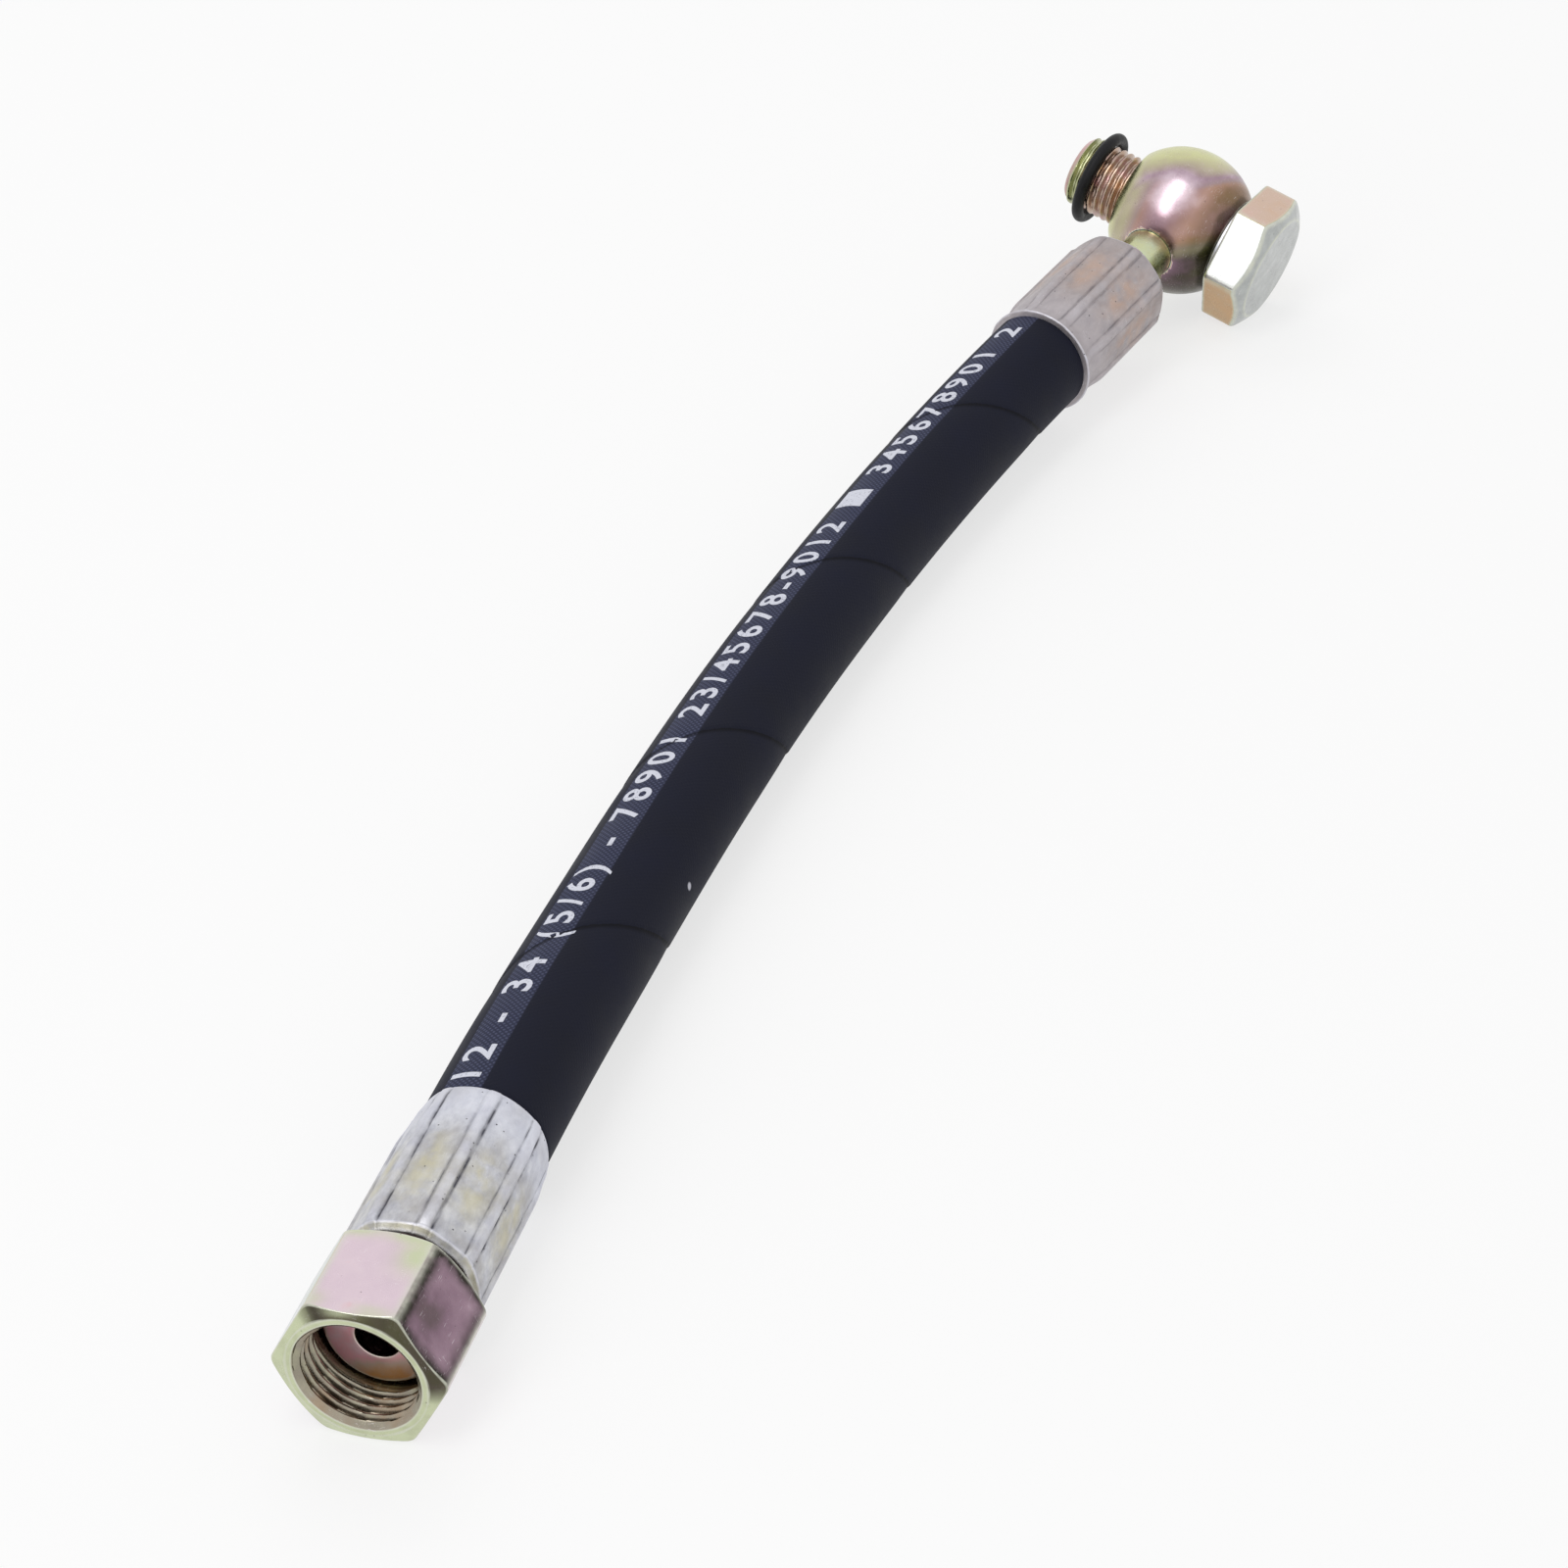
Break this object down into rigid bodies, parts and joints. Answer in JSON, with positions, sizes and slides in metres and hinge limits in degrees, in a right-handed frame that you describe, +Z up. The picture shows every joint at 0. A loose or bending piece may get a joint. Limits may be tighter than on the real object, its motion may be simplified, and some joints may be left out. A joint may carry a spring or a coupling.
{
  "type": "hydraulic hose assembly",
  "caption": "Short wire-braided hydraulic hose with crimped ferrules, a flat-seat swivel nut at one end and a ball banjo eye with its hollow bolt at the other.",
  "frame": {"origin": "centre of the assembly's footprint, on the surface that it lies on", "axes": "+X from the swivel nut towards the banjo eye, along the assembly's length; +Z up, away from the surface that it lies on"},
  "size_m": [0.3514, 0.078, 0.0317],
  "materials": {
    "cover_rubber": "matt, with the print of its cloth wrapping",
    "lining_rubber": "smooth",
    "braid_wire": "brass-coated wire braid",
    "zinc_steel": "dull zinc plate marked by the crimping dies",
    "chromated_steel": "yellow zinc plate with an iridescent sheen",
    "bright_washer": "soft bright metal",
    "ring_rubber": "smooth"
  },
  "bodies": {
    "hose": {"hose_inner_tube": "lining_rubber", "hose_inner_braid": "braid_wire", "hose_middle_layer": "lining_rubber", "hose_outer_braid": "braid_wire", "hose_cover": "cover_rubber", "near_ferrule": "zinc_steel", "near_nipple": "chromated_steel", "far_ferrule": "zinc_steel", "far_nipple": "chromated_steel", "banjo_eye": "chromated_steel"},
    "nut": {"swivel_nut": "chromated_steel"},
    "washer": {"sealing_washer": "bright_washer"},
    "bolt": {"banjo_bolt": "chromated_steel", "bolt_o_ring": "ring_rubber"}
  },
  "joints": [
    {"name": "nut_swivel", "type": "hinge", "parent": "hose", "child": "nut", "pos_m": [-0.16697, 0.02627, 0.011], "axis": [1, 0, 0], "continuous": true},
    {"name": "bolt_slide", "type": "slide", "parent": "hose", "child": "washer", "axis": [-0.2543, -0.9219, -0.2922], "range_m": [0, 0.006]},
    {"name": "bolt_spin", "type": "hinge", "parent": "washer", "child": "bolt", "pos_m": [0.16143, -0.01599, 0.01723], "axis": [-0.2543, -0.9219, -0.2922], "continuous": true}
  ]
}
